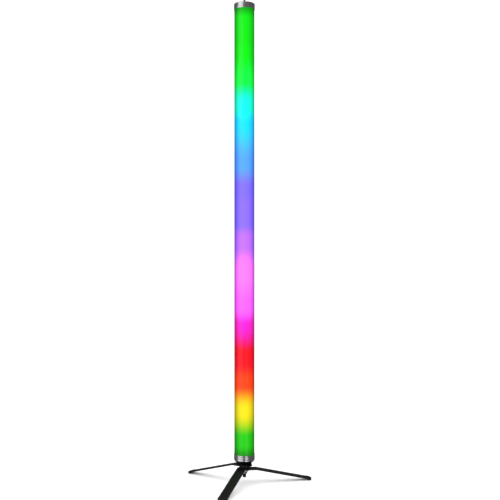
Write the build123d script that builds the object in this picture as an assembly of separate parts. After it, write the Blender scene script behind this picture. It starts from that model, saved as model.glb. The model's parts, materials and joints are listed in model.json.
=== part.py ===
from build123d import *
import os
from math import atan2, cos, degrees, pi, radians, sin, tan

# LED light tube on a folding three-legged stand, in millimetres.
# +Z is up and the origin is on the tube's axis, level with the soles of the feet.
# The heights below run upwards from the lowest leg, so a change moves what stands on it.

# Lit tube
tube_outer_d = 44.6
tube_wall = 2.0
lit_length = 982.5

# End caps, the same turned shape at both ends
cap_height = 13.0
cap_overhang = 0.8
cap_plate = 4.0
rim_height = 2.6
seat_depth = 2.2
wide_groove = 2.0
middle_ring = 3.2
thin_groove = 1.0
groove_depth = 0.8
cap_chamfer = 1.0
spigot_reach = 6.0
spigot_wall = 3.35
seal_width = 2.0
seal_depth = 1.7
seal_round = 0.34

# Inner spine, boards and cells
spine_side = 22.0
spine_corner = 1.5
cell_d = 18.3
cell_length = 65.0
cell_count = 8
cell_edge = 0.5
spacer_thickness = 1.5
board_width = 10.0
board_thickness = 1.0
board_end_gap = 4.0
pixel_count = 16
leds_per_pixel = 4
led_side = 5.0
led_height = 1.6
control_board_width = 16.0
control_board_length = 180.0
control_board_thickness = 1.6
control_board_gap = 20.0
component_width = 8.0
component_depths = (4.5, 3.0, 1.2, 1.2, 5.5, 2.0)
radio_board_width = 12.0
radio_board_length = 28.0
top_holder_height = 12.0
bottom_holder_height = 8.0

# Controls on the top face, on one circle with the screws between them
controls_pitch_r = 12.0
button_d = 6.0
button_rise = 1.2
button_travel = 0.8
button_flange = 0.6
button_flange_height = 1.0
button_edge = 0.5
switch_side = 4.5
switch_height = 3.5
switch_case_height = 2.4
plunger_d = 2.0
socket_d = 7.8
socket_length = 12.0
socket_recess = 1.0
jack_d = 5.7
jack_depth = 9.0
jack_pin_d = 2.1
plug_flange_d = 9.5
plug_flange_height = 1.2
plug_stem = 6.0
lens_d = 3.0
lens_rise = 0.3
lens_flange_d = 4.4
lens_flange_height = 1.0

# Screws that pull the caps onto the spine
screw_d = 2.5
screw_head_d = 4.7
screw_head_height = 1.3
screw_length = 25.0
socket_key = 1.5
socket_key_depth = 0.9
screw_pitch_r = 12.5

# Hanging eye
eye_shank_d = 6.0
eye_collar_d = 10.0
eye_collar_height = 2.5
eye_hole_d = 11.0
eye_section = 4.0
eye_sink = 1.0
eye_thickness = 5.0
eye_round = 1.5
eye_nut_across = 10.0
eye_nut_height = 5.0
eye_nut_washer = 0.8

# Stand: stud, hub and clamp nut
stud_d = 8.0
stud_grip = 9.0
stud_below_nut = 8.4
stud_chamfer = 1.0
insert_d = 12.0
insert_flange_d = 16.0
insert_flange_height = 2.0
insert_length = 10.0
pad_thickness = 1.5
pad_inset = 0.4
hub_boss_d = 33.0
hub_boss_height = 5.5
hub_flange_d = 43.0
hub_flange_height = 3.0
hub_edge = 0.6
leg_washer_d = 22.0
leg_washer_thickness = 0.9
hub_washer_thickness = 0.95
clamp_washer_d = 22.0
clamp_washer_thickness = 1.5
nut_across = 13.0
nut_flange_d = 17.8
nut_flange_height = 1.5
nut_height = 6.5
nut_bevel = 1.5

# Legs: flat steel bars that swivel on the stud, one above the other
lowest_leg_underside = 28.5
leg_width = 20.0
leg_thickness = 3.0
leg_hub_end = 15.0
leg_bend_r = 26.0
leg_tip_r = 150.5
leg_bend_round = 6.0
leg_corner = 1.5
leg_tip_corner = 6.0
foot_base = 1.2
foot_wall = 0.5
foot_grip = 9.0
foot_sole = 3.0
foot_edge = 0.3
front_leg_angle = 252.0
right_leg_angle = 9.5
left_leg_angle = 146.5

# Clearances
running_clearance = 0.05
swivel_play = 0.05
slip_clearance = 0.1
thread_clearance = 0.02
spigot_clearance = 0.15
pocket_clearance = 0.1
plunger_gap = 0.3
cell_clearance = 0.35
cut_margin = 1.0

# Heights worked out from the values above
tube_outer_r = tube_outer_d / 2
tube_inner_r = tube_outer_r - tube_wall
cap_r = tube_outer_r + cap_overhang
leg_pitch = leg_thickness + leg_washer_thickness + 2 * swivel_play
right_leg_z = lowest_leg_underside
front_leg_z = right_leg_z + leg_pitch
left_leg_z = front_leg_z + leg_pitch
hub_washer_z = left_leg_z + leg_thickness + swivel_play
hub_z = hub_washer_z + hub_washer_thickness
pad_z = hub_z + hub_boss_height + hub_flange_height
bottom_z = pad_z + pad_thickness
lit_bottom_z = bottom_z + cap_height
lit_top_z = lit_bottom_z + lit_length
top_z = lit_top_z + cap_height
spine_bottom_z = bottom_z + cap_plate + bottom_holder_height
spine_top_z = top_z - cap_plate - top_holder_height
spine_length = spine_top_z - spine_bottom_z
bore_r = cell_d / 2 + cell_clearance
spigot_r = tube_inner_r - spigot_clearance
cavity_r = spigot_r - spigot_wall
holder_r = cavity_r - pocket_clearance
clamp_washer_z = lowest_leg_underside - swivel_play - clamp_washer_thickness
nut_top_z = clamp_washer_z - swivel_play
nut_bottom_z = nut_top_z - nut_height
stud_bottom_z = nut_bottom_z - stud_below_nut
stud_top_z = bottom_z + stud_grip


def disc(radius, z0, z1, x=0.0, y=0.0):
    """Upright cylinder from height z0 to height z1."""
    return Pos(x, y, z0) * Cylinder(radius, z1 - z0, align=(Align.CENTER, Align.CENTER, Align.MIN))


def ring(outer_r, inner_r, z0, z1):
    """Upright tube on the main axis."""
    return disc(outer_r, z0, z1) - disc(inner_r, z0 - cut_margin, z1 + cut_margin)


def block(size_x, size_y, z0, z1, x=0.0, y=0.0):
    """Upright box from height z0 to height z1."""
    corner = (Align.CENTER, Align.CENTER, Align.MIN)
    return Pos(x, y, z0) * Box(size_x, size_y, z1 - z0, align=corner)


def turned(points):
    """Solid of revolution about Z from an outline of (radius, height) points."""
    outline = Polyline(*[(r, 0, z) for r, z in points], close=True)
    return revolve(make_face(outline), Axis.Z)


def hexagon(across, z0, z1):
    """Upright hexagonal prism, measured across its flats."""
    flats = RegularPolygon(across / 2, 6, major_radius=False)
    return Pos(0, 0, z0) * extrude(flats, z1 - z0)


def around(radius, count, start):
    """Points evenly spaced round the main axis."""
    for index in range(count):
        angle = radians(start + index * 360 / count)
        yield radius * cos(angle), radius * sin(angle)


def upside_down(solid):
    """The bottom cap's pieces are the top cap's, turned over about the middle of the lit length."""
    middle = (lit_bottom_z + lit_top_z) / 2
    return Pos(0, 0, middle) * (Rot(180, 0, 0) * (Pos(0, 0, -middle) * solid))


def as_group(solids):
    """Separate solids that share one node."""
    return Compound(children=list(solids))


def write(name, shape):
    """Write one sub-part to its own file."""
    export_step(shape, f"parts/{name}.step")


# End caps ------------------------------------------------------------------

def plain_cap():
    """Turned cap at the top end: plate, ringed rim that takes the tube, and a grooved spigot."""
    rim_r = tube_outer_r + running_clearance
    groove_r = cap_r - groove_depth
    z_rim = lit_top_z + rim_height
    z_groove = z_rim + wide_groove
    z_ring = z_groove + middle_ring
    z_thin = z_ring + thin_groove
    seat_z = lit_top_z + seat_depth
    spigot_z = lit_top_z - spigot_reach
    outline = [
        (cavity_r, spigot_z),
        (spigot_r, spigot_z),
        (spigot_r, seat_z),
        (rim_r, seat_z),
        (rim_r, lit_top_z),
        (cap_r, lit_top_z),
        (cap_r, z_rim),
        (groove_r, z_rim),
        (groove_r, z_groove),
        (cap_r, z_groove),
        (cap_r, z_ring),
        (groove_r, z_ring),
        (groove_r, z_thin),
        (cap_r, z_thin),
        (cap_r, top_z - cap_chamfer),
        (cap_r - cap_chamfer, top_z),
        (0, top_z),
        (0, top_z - cap_plate),
        (cavity_r, top_z - cap_plate),
    ]
    return turned(outline) - seal_ring(spigot_r + cut_margin)


def seal_ring(outer_r):
    """Ring that fills the spigot's groove, out to the given radius."""
    z0 = lit_top_z - spigot_reach + seal_width
    return ring(outer_r, tube_inner_r - seal_depth, z0, z0 + seal_width)


def tube_seal():
    """Rubber ring that closes the gap between spigot and tube."""
    seal = seal_ring(tube_inner_r - thread_clearance)
    return fillet(seal.edges().filter_by(GeomType.CIRCLE), seal_round)


def screw_at(x, y):
    """Countersunk socket screw at the top face."""
    head_r = screw_head_d / 2
    shank_r = screw_d / 2
    outline = [
        (0, top_z),
        (head_r, top_z),
        (shank_r, top_z - screw_head_height),
        (shank_r, top_z - screw_length),
        (0, top_z - screw_length),
    ]
    key = hexagon(socket_key, top_z - socket_key_depth, top_z + cut_margin)
    return Pos(x, y, 0) * (turned(outline) - key)


def cap_screws():
    """Four screws, between the controls, that pull a cap onto the spine."""
    return as_group(screw_at(x, y) for x, y in around(screw_pitch_r, 4, 45))


def screw_hole(x, y):
    """Clearance hole and countersink for one cap screw."""
    head_r = screw_head_d / 2 + slip_clearance
    shank_r = screw_d / 2 + slip_clearance
    outline = [
        (0, top_z + cut_margin),
        (head_r + cut_margin, top_z + cut_margin),
        (head_r, top_z),
        (shank_r, top_z - screw_head_height),
        (shank_r, top_z - screw_length - cut_margin),
        (0, top_z - screw_length - cut_margin),
    ]
    return Pos(x, y, 0) * turned(outline)


def drilled_cap():
    """Cap with its four screw holes."""
    cap = plain_cap()
    for x, y in around(screw_pitch_r, 4, 45):
        cap -= screw_hole(x, y)
    return cap


def top_cap():
    """Cap with holes for the eye, the two buttons, the charging socket and the status lens."""
    low, high = top_z - cap_plate - cut_margin, top_z + cut_margin
    cap = drilled_cap()
    cap -= disc(eye_shank_d / 2 + slip_clearance, low, high)
    for side in (-1, 1):
        cap -= disc(button_d / 2 + running_clearance, low, high, y=side * controls_pitch_r)
    cap -= disc(socket_d / 2 + slip_clearance, low, high, x=controls_pitch_r)
    cap -= disc(lens_d / 2 + slip_clearance, low, high, x=-controls_pitch_r)
    return cap


def bottom_cap():
    """Cap turned over, with a hole for the threaded insert."""
    hole = disc(insert_d / 2 + slip_clearance, top_z - cap_plate - cut_margin, top_z + cut_margin)
    return upside_down(drilled_cap() - hole)


# Tube and what it holds -----------------------------------------------------

def diffuser_tube():
    """Opal tube, seated in the rims of both caps."""
    low, high = lit_bottom_z - seat_depth, lit_top_z + seat_depth
    return ring(tube_outer_r, tube_inner_r, low, high)


def spine():
    """Extruded aluminium spine: square outside, round bore for the cells, screw ports in its corners."""
    profile = RectangleRounded(spine_side, spine_side, spine_corner) - Circle(bore_r)
    for x, y in around(screw_pitch_r, 4, 45):
        profile -= Pos(x, y) * Circle(screw_d / 2 + thread_clearance)
    return Pos(0, 0, spine_bottom_z) * extrude(profile, spine_length)


def led_board(side):
    """Long board glued to the spine's front (side -1) or rear (side 1) face."""
    y = side * (spine_side + board_thickness) / 2
    low, high = spine_bottom_z + board_end_gap, spine_top_z - board_end_gap
    return block(board_width, board_thickness, low, high, y=y)


def led_row(side):
    """Row of light-emitting diodes soldered to one board."""
    count = pixel_count * leds_per_pixel
    pitch = (spine_length - 2 * board_end_gap) / count
    y = side * (spine_side / 2 + board_thickness + led_height / 2)
    first = spine_bottom_z + board_end_gap + pitch / 2 - led_side / 2
    solids = []
    for index in range(count):
        low = first + index * pitch
        solids.append(block(led_side, led_height, low, low + led_side, y=y))
    return as_group(solids)


def cell_heights():
    """Lower end of each battery cell, above the first spacer."""
    pitch = cell_length + spacer_thickness
    return [spine_bottom_z + spacer_thickness + index * pitch for index in range(cell_count)]


def battery_cells():
    """Cells stacked end to end in the spine's bore."""
    solids = []
    for low in cell_heights():
        can = disc(cell_d / 2, low, low + cell_length)
        solids.append(chamfer(can.edges().filter_by(GeomType.CIRCLE), cell_edge))
    return as_group(solids)


def cell_spacers():
    """Insulating discs below, between and above the cells."""
    lows = [low - spacer_thickness for low in cell_heights()]
    lows.append(cell_heights()[-1] + cell_length)
    return as_group(disc(cell_d / 2, low, low + spacer_thickness) for low in lows)


def control_board_z():
    """Lower end of the control board, above the last cell's spacer."""
    return cell_heights()[-1] + cell_length + spacer_thickness + control_board_gap


def control_board():
    """Driver and charging board in the spine's bore above the cells."""
    low = control_board_z()
    return block(control_board_width, control_board_thickness, low, low + control_board_length)


def board_components():
    """Coil, capacitors and chips soldered to the control board's front."""
    low = control_board_z()
    face = -control_board_thickness / 2
    solids = []
    pitch = control_board_length / len(component_depths)
    for index, depth in enumerate(component_depths):
        start = low + index * pitch + pitch / 4
        high = start + pitch / 2
        solids.append(block(component_width, depth, start, high, y=face - depth / 2))
    return as_group(solids)


def radio_module():
    """Small radio board near the top of the spine's bore."""
    high = spine_top_z - board_end_gap
    return block(radio_board_width, board_thickness, high - radio_board_length, high)


def top_holder():
    """Moulded block between spine and top plate, with pockets for switches, socket, lens and nut."""
    low, high = spine_top_z, top_z - cap_plate
    holder = disc(holder_r, low, high)
    over = high + cut_margin
    under = low - cut_margin
    nut_room_r = eye_nut_across / 2 / cos(pi / 6) + pocket_clearance
    nut_low = high - eye_nut_height - eye_nut_washer - pocket_clearance
    holder -= disc(nut_room_r, nut_low, over)
    holder -= disc(eye_shank_d / 2 + slip_clearance, under, over)
    pocket_r = button_d / 2 + button_flange + pocket_clearance
    for side in (-1, 1):
        holder -= disc(pocket_r, switch_z(), over, y=side * controls_pitch_r)
    holder -= disc(socket_d / 2 + pocket_clearance, under, over, x=controls_pitch_r)
    lens_low = high - lens_flange_height - pocket_clearance
    holder -= disc(lens_flange_d / 2 + pocket_clearance, lens_low, over, x=-controls_pitch_r)
    for x, y in around(screw_pitch_r, 4, 45):
        holder -= disc(screw_d / 2 + slip_clearance, under, over, x, y)
    return holder


def bottom_holder():
    """Moulded ring between bottom plate and spine, round the threaded insert."""
    low, high = bottom_z + cap_plate, spine_bottom_z
    holder = ring(holder_r, insert_flange_d / 2 + pocket_clearance, low, high)
    for x, y in around(screw_pitch_r, 4, 45):
        holder -= disc(screw_d / 2 + slip_clearance, low - cut_margin, high + cut_margin, x, y)
    return holder


# Controls ------------------------------------------------------------------

def button_flange_top():
    """Height of the button's flange, just under the plate."""
    return top_z - cap_plate - running_clearance


def push_button(side):
    """Round button held under the plate by its flange; side -1 is the front one."""
    y = side * controls_pitch_r
    flange_top = button_flange_top()
    stem = disc(button_d / 2, flange_top - button_flange_height, top_z + button_rise, y=y)
    stem = fillet(stem.edges().filter_by(GeomType.CIRCLE).sort_by(Axis.Z)[-1], button_edge)
    flange_r = button_d / 2 + button_flange
    return stem + disc(flange_r, flange_top - button_flange_height, flange_top, y=y)


def switch_top():
    """Plunger top, left clear of the pressed button."""
    return button_flange_top() - button_flange_height - button_travel - plunger_gap


def switch_z():
    """Underside of the switches."""
    return switch_top() - switch_height


def button_switches():
    """Tactile switches under the two buttons."""
    solids = []
    for side in (-1, 1):
        y = side * controls_pitch_r
        case = block(switch_side, switch_side, switch_z(), switch_z() + switch_case_height, y=y)
        solids.append(case + disc(plunger_d / 2, switch_z(), switch_top(), y=y))
    return as_group(solids)


def charge_socket():
    """Barrel socket for the charger, with its centre pin."""
    x = controls_pitch_r
    high = top_z - socket_recess
    body = disc(socket_d / 2, high - socket_length, high, x)
    body -= disc(jack_d / 2, high - jack_depth, high + cut_margin, x)
    pin = disc(jack_pin_d / 2, high - jack_depth - cut_margin, high - 2 * socket_recess, x)
    return body + pin


def port_plug():
    """Rubber plug whose hollow stem goes round the socket's pin."""
    x = controls_pitch_r
    low = top_z + swivel_play
    stem_low = top_z - socket_recess - plug_stem
    flange = disc(plug_flange_d / 2, low, low + plug_flange_height, x)
    flange = fillet(flange.edges().filter_by(GeomType.CIRCLE).sort_by(Axis.Z)[-1], button_edge)
    stem = disc(jack_d / 2 - slip_clearance, stem_low, low + plug_flange_height / 2, x)
    stem -= disc(jack_pin_d / 2 + slip_clearance, stem_low - cut_margin, low, x)
    return flange + stem


def status_light():
    """Clear lens with a flange under the plate."""
    x = -controls_pitch_r
    under = top_z - cap_plate
    lens = disc(lens_d / 2, under - lens_flange_height, top_z + lens_rise, x)
    lens = fillet(lens.edges().filter_by(GeomType.CIRCLE).sort_by(Axis.Z)[-1], lens_rise)
    return lens + disc(lens_flange_d / 2, under - lens_flange_height, under, x)


# Hanging eye ----------------------------------------------------------------

def eye_centre_z():
    """Height of the middle of the eye's hole."""
    return top_z + eye_collar_height + eye_hole_d / 2 + eye_section - eye_sink


def eye_bolt():
    """Bolt with a collar and a flat ring that stands edge-on to the front."""
    z = eye_centre_z()
    outer_r = eye_hole_d / 2 + eye_section
    plate = Pos(0, 0, z) * (Rot(0, 90, 0) * Cylinder(outer_r, eye_thickness))
    plate = fillet(plate.edges().filter_by(GeomType.CIRCLE), eye_round)
    collar = disc(eye_collar_d / 2, top_z, top_z + eye_collar_height)
    collar = fillet(collar.edges().filter_by(GeomType.CIRCLE).sort_by(Axis.Z)[-1], button_edge)
    shank_low = top_z - cap_plate - eye_nut_height - eye_nut_washer
    bolt = plate + collar + disc(eye_shank_d / 2, shank_low, top_z + eye_collar_height)
    hole = Pos(0, 0, z) * (Rot(0, 90, 0) * Cylinder(eye_hole_d / 2, 2 * eye_thickness))
    return bolt - hole


def eye_washer():
    """Spring washer under the top plate."""
    high = top_z - cap_plate
    return ring(eye_nut_across / 2, eye_shank_d / 2 + slip_clearance, high - eye_nut_washer, high)


def eye_nut():
    """Hexagon nut that holds the eye bolt."""
    high = top_z - cap_plate - eye_nut_washer
    low = high - eye_nut_height
    hole = disc(eye_shank_d / 2 + thread_clearance, low - cut_margin, high + cut_margin)
    return hexagon(eye_nut_across, low, high) - hole


# Stand ----------------------------------------------------------------------

def thread_insert():
    """Brass insert that holds the stud, flush with the bottom face."""
    flange_z = bottom_z + cap_plate
    body = disc(insert_d / 2, bottom_z, bottom_z + insert_length)
    body += disc(insert_flange_d / 2, flange_z, flange_z + insert_flange_height)
    hole_r = stud_d / 2 + thread_clearance
    return body - disc(hole_r, bottom_z - cut_margin, bottom_z + insert_length + cut_margin)


def stud():
    """Threaded stud, chamfered at its free end, with a hexagon socket there."""
    rod = disc(stud_d / 2, stud_bottom_z, stud_top_z)
    rod = chamfer(rod.edges().filter_by(GeomType.CIRCLE), stud_chamfer)
    key = hexagon(stud_d / 2, stud_bottom_z - cut_margin, stud_bottom_z + stud_d / 2)
    return rod - key


def base_pad():
    """Rubber pad between hub and bottom cap."""
    return ring(cap_r - cap_chamfer - pad_inset, stud_d / 2 + slip_clearance, pad_z, bottom_z)


def stand_hub():
    """Turned hub: boss below, flange that tapers out to the pad above."""
    boss_r = hub_boss_d / 2
    flange_r = hub_flange_d / 2
    bore = stud_d / 2 + slip_clearance
    shoulder_z = hub_z + hub_boss_height
    outline = [
        (bore, hub_z),
        (boss_r - hub_edge, hub_z),
        (boss_r, hub_z + hub_edge),
        (boss_r, shoulder_z),
        (flange_r - hub_edge, pad_z - hub_edge),
        (flange_r, pad_z - hub_edge),
        (flange_r, pad_z),
        (bore, pad_z),
    ]
    return turned(outline)


def hub_washer():
    """Nylon washer between hub and the top leg."""
    return ring(leg_washer_d / 2, stud_d / 2 + slip_clearance, hub_washer_z, hub_z)


def leg_washers():
    """Nylon washers above and below the middle leg."""
    bore = stud_d / 2 + running_clearance
    lows = (front_leg_z - swivel_play - leg_washer_thickness, front_leg_z + leg_thickness + swivel_play)
    return as_group(
        ring(leg_washer_d / 2, bore, low, low + leg_washer_thickness) for low in lows
    )


def clamp_washer():
    """Steel washer above the clamp nut."""
    bore = stud_d / 2 + running_clearance
    high = clamp_washer_z + clamp_washer_thickness
    return ring(clamp_washer_d / 2, bore, clamp_washer_z, high)


def clamp_nut():
    """Hexagon nut with a wide flange."""
    flange_z = nut_top_z - nut_flange_height
    outline = [
        (0, nut_bottom_z),
        (nut_across / 2, nut_bottom_z),
        (nut_across / 2 + 2 * nut_bevel, nut_bottom_z + nut_bevel),
        (nut_across / 2 + 2 * nut_bevel, nut_top_z),
        (0, nut_top_z),
    ]
    nut = hexagon(nut_across, nut_bottom_z, nut_top_z) & turned(outline)
    flange = disc(nut_flange_d / 2, flange_z, nut_top_z)
    flange = chamfer(flange.edges().filter_by(GeomType.CIRCLE).sort_by(Axis.Z)[0], button_edge)
    hole_r = stud_d / 2 + running_clearance
    return nut + flange - disc(hole_r, nut_bottom_z - cut_margin, nut_top_z + cut_margin)


# Legs and feet: drawn along +X, then turned to their place -------------------

def leg_slope(underside_z):
    """Fall of the leg beyond its bend, in radians, so that its end rests on the sole."""
    drop = underside_z - foot_base
    return atan2(drop, leg_tip_r - leg_bend_r)


def bar(underside_z):
    """Flat steel bar: level over the stud, then straight down to the floor."""
    slope = leg_slope(underside_z)
    mitre = leg_thickness * tan(slope / 2)
    lean_x = leg_thickness * sin(slope)
    lean_z = leg_thickness * cos(slope)
    top = underside_z + leg_thickness
    outline = Polyline(
        (-leg_hub_end, 0, underside_z),
        (leg_bend_r, 0, underside_z),
        (leg_tip_r, 0, foot_base),
        (leg_tip_r + lean_x, 0, foot_base + lean_z),
        (leg_bend_r + mitre, 0, top),
        (-leg_hub_end, 0, top),
        close=True,
    )
    solid = extrude(make_face(outline), leg_width / 2, dir=(0, 1, 0), both=True)
    bends = solid.edges().filter_by(Axis.Y).filter_by_position(Axis.X, 0, leg_tip_r - foot_wall)
    solid = fillet(bends, leg_bend_round)
    return round_tip(solid, leg_tip_r, leg_tip_corner)


def round_tip(solid, end_x, radius):
    """Round the two corners at the outer end of a leg or boot, seen from above."""
    end_edges = solid.edges().filter_by_position(Axis.X, end_x, end_x + 2 * leg_thickness)
    return fillet(end_edges.filter_by(Axis.Y, reverse=True), radius)


def leg(underside_z, angle):
    """Bar with rounded corners and a running fit on the stud."""
    solid = bar(underside_z)
    hub_corners = solid.edges().filter_by(Axis.Z)
    solid = fillet(hub_corners, leg_corner)
    bore = stud_d / 2 + running_clearance
    solid -= disc(bore, underside_z - cut_margin, underside_z + leg_thickness + cut_margin)
    return Rot(0, 0, angle) * solid


def foot(underside_z, angle):
    """Rubber boot pushed over the end of the leg, with a flat sole at the floor."""
    slope = leg_slope(underside_z)
    along_x, along_z = cos(slope), -sin(slope)
    up_x, up_z = sin(slope), cos(slope)
    over = leg_thickness + foot_wall
    back_x = leg_tip_r - foot_grip * along_x
    back_z = foot_base - foot_grip * along_z
    end_x = leg_tip_r + foot_wall * along_x
    end_z = foot_base + foot_wall * along_z
    outline = Polyline(
        (back_x - foot_wall * up_x, 0, back_z - foot_wall * up_z),
        (leg_tip_r - foot_sole, 0, 0),
        (end_x, 0, 0),
        (end_x + over * up_x, 0, end_z + over * up_z),
        (back_x + over * up_x, 0, back_z + over * up_z),
        close=True,
    )
    half_width = leg_width / 2 + foot_wall
    solid = extrude(make_face(outline), half_width, dir=(0, 1, 0), both=True)
    solid = round_tip(solid, end_x, leg_tip_corner + foot_wall)
    upper_face = solid.faces().sort_by(Axis((0, 0, 0), (up_x, 0, up_z)))[-1]
    solid = fillet(upper_face.edges(), foot_edge)
    solid -= bar(underside_z)
    return Rot(0, 0, angle) * solid


os.makedirs("parts", exist_ok=True)

write("diffuser_tube", diffuser_tube())
write("top_cap", top_cap())
write("bottom_cap", bottom_cap())
write("top_seal", tube_seal())
write("bottom_seal", upside_down(tube_seal()))
write("top_cap_screws", cap_screws())
write("bottom_cap_screws", upside_down(cap_screws()))
write("spine", spine())
write("front_led_board", led_board(-1))
write("rear_led_board", led_board(1))
write("front_leds", led_row(-1))
write("rear_leds", led_row(1))
write("battery_cells", battery_cells())
write("cell_spacers", cell_spacers())
write("control_board", control_board())
write("board_components", board_components())
write("radio_module", radio_module())
write("top_holder", top_holder())
write("bottom_holder", bottom_holder())
write("power_button", push_button(-1))
write("mode_button", push_button(1))
write("button_switches", button_switches())
write("charge_socket", charge_socket())
write("port_plug", port_plug())
write("status_light", status_light())
write("eye_bolt", eye_bolt())
write("eye_washer", eye_washer())
write("eye_nut", eye_nut())
write("thread_insert", thread_insert())
write("stand_stud", stud())
write("base_pad", base_pad())
write("stand_hub", stand_hub())
write("hub_washer", hub_washer())
write("leg_washers", leg_washers())
write("clamp_washer", clamp_washer())
write("clamp_nut", clamp_nut())

legs = {
    "left": (left_leg_z, left_leg_angle),
    "front": (front_leg_z, front_leg_angle),
    "right": (right_leg_z, right_leg_angle),
}
for side, (underside_z, angle) in legs.items():
    write(f"{side}_leg", leg(underside_z, angle))
    write(f"{side}_foot", foot(underside_z, angle))

print("top of the cap", round(top_z, 3), "eye centre", round(eye_centre_z(), 3))
print("lit length from", lit_bottom_z, "to", lit_top_z, "stud end", round(stud_bottom_z, 3))
for side, (underside_z, angle) in legs.items():
    print(side, "leg falls", round(degrees(leg_slope(underside_z)), 2), "degrees")
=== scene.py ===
# %% [markdown]
# An LED light tube on a small folding stand. The imported model is the fixed frame that every
# piece below is built around, in metres. It is loaded once, and the pieces read their sizes
# from its parts.

# %% Load the frame
import json
from math import atan2, cos, degrees, hypot, pi, radians, sin, tan

import bpy
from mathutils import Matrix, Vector


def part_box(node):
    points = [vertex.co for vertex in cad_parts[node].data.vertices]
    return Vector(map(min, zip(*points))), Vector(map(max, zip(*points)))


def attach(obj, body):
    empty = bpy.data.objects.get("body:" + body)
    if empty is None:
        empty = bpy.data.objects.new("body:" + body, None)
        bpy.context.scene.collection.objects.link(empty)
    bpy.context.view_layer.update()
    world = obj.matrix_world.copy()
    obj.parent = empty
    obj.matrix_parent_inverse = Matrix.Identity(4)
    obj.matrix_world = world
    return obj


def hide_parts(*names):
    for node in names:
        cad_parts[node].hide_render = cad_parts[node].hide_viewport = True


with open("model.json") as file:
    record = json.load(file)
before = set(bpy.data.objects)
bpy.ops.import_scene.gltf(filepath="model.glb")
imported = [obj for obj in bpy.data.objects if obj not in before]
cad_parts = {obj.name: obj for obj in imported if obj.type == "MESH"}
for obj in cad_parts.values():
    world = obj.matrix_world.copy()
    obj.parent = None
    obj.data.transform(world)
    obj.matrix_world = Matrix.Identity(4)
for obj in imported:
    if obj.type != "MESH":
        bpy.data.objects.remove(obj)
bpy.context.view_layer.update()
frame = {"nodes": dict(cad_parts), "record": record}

MM = 0.001
mounts = {mount["name"]: mount for mount in frame["record"]["mounts"]}

# %% [markdown]
# The camera stands level with the middle of the light, because a tall thin object looks
# straight only when the camera isn't tilted. It could be tilted or shifted instead, but then
# the tube's edges would lean or every other view would be off centre. A very small turn to
# the right leaves the tube a little left of the middle.

# %% Camera
CAMERA_DISTANCE = 1.85
CAMERA_HEIGHT = 0.5146
CAMERA_TURN = radians(0.385)
LENS = 60.16
SENSOR = 36.0


def make_camera():
    """A level camera in front of the light."""
    bpy.ops.object.select_all(action="DESELECT")
    bpy.ops.object.camera_add(
        location=(0, -CAMERA_DISTANCE, CAMERA_HEIGHT), rotation=(pi / 2, 0, -CAMERA_TURN)
    )
    camera = bpy.context.object
    camera.name = "main_camera"
    camera.data.lens = LENS
    camera.data.sensor_width = SENSOR
    camera.data.clip_start = 0.01
    camera.data.clip_end = 100
    bpy.context.scene.camera = camera
    return camera


camera = make_camera()
print("camera at", [round(v, 3) for v in camera.location], "lens", LENS)

# %% [markdown]
# A few small tools shape every piece. Modifiers are applied as soon as they are added, parts
# are selected by where they lie, and a lathe turns an outline into a round piece. That could
# also come from the Screw modifier, but extruding one ring after another keeps every ring
# where the outline says. The rest drill, cut, melt, round, move and copy whole shapes.

# %% Modelling tools
ROUND_SIDES = 96
MERGE = 0.000001


def pick(piece):
    """Select one piece alone and make it the active one."""
    bpy.ops.object.select_all(action="DESELECT")
    piece.select_set(True)
    bpy.context.view_layer.objects.active = piece


def apply_modifier(piece, kind, **settings):
    """Add one modifier to a piece and apply it at once."""
    bpy.context.view_layer.objects.active = piece
    modifier = piece.modifiers.new(kind.lower(), kind)
    for name, value in settings.items():
        setattr(modifier, name, value)
    bpy.ops.object.modifier_apply(modifier=modifier.name)


def select_where(piece, part, test):
    """In edit mode, select the vertices, edges or faces whose middle passes the test."""
    bpy.ops.mesh.select_mode(type={"vertices": "VERT", "edges": "EDGE", "polygons": "FACE"}[part])
    bpy.ops.mesh.select_all(action="DESELECT")
    bpy.ops.object.mode_set(mode="OBJECT")
    mesh = piece.data
    for element in getattr(mesh, part):
        if part == "vertices":
            element.select = test(element.co)
        elif part == "polygons":
            element.select = test(element.center)
        else:
            ends = [mesh.vertices[index].co for index in element.vertices]
            element.select = test((ends[0] + ends[1]) / 2)
    bpy.ops.object.mode_set(mode="EDIT")


def turned(name, outline, sides=ROUND_SIDES):
    """Extrude a ring through (radius, height) points in mm; a closed outline has a hole."""
    bpy.ops.object.select_all(action="DESELECT")
    radius, height = outline[0]
    bpy.ops.mesh.primitive_circle_add(vertices=sides, radius=radius * MM, location=(0, 0, height * MM))
    piece = bpy.context.object
    piece.name = piece.data.name = name
    bpy.ops.object.transform_apply(location=True)
    bpy.ops.object.mode_set(mode="EDIT")
    bpy.ops.mesh.select_mode(type="EDGE")
    bpy.ops.mesh.select_all(action="SELECT")
    for next_radius, next_height in outline[1:]:
        step = (0, 0, (next_height - height) * MM)
        bpy.ops.mesh.extrude_region_move(TRANSFORM_OT_translate={"value": step})
        ratio = next_radius / radius
        centre = (0, 0, next_height * MM)
        bpy.ops.transform.resize(value=(ratio, ratio, 1), center_override=centre)
        radius, height = next_radius, next_height
    if outline[0] != outline[-1]:
        bpy.ops.mesh.edge_face_add()
        start = outline[0][1] * MM
        select_where(piece, "edges", lambda at: abs(at.z - start) < MERGE)
        bpy.ops.mesh.edge_face_add()
    tidy_mesh()
    return piece


def close_openings():
    """In edit mode, close any loop of open edges with a face."""
    bpy.ops.mesh.select_mode(type="EDGE")
    bpy.ops.mesh.select_all(action="DESELECT")
    bpy.ops.mesh.select_non_manifold()
    bpy.ops.mesh.edge_face_add()


def tidy_mesh():
    """Merge doubles, point every face outwards and leave edit mode."""
    bpy.ops.mesh.select_all(action="SELECT")
    bpy.ops.mesh.remove_doubles(threshold=MERGE)
    bpy.ops.mesh.normals_make_consistent(inside=False)
    bpy.ops.object.mode_set(mode="OBJECT")


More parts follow.
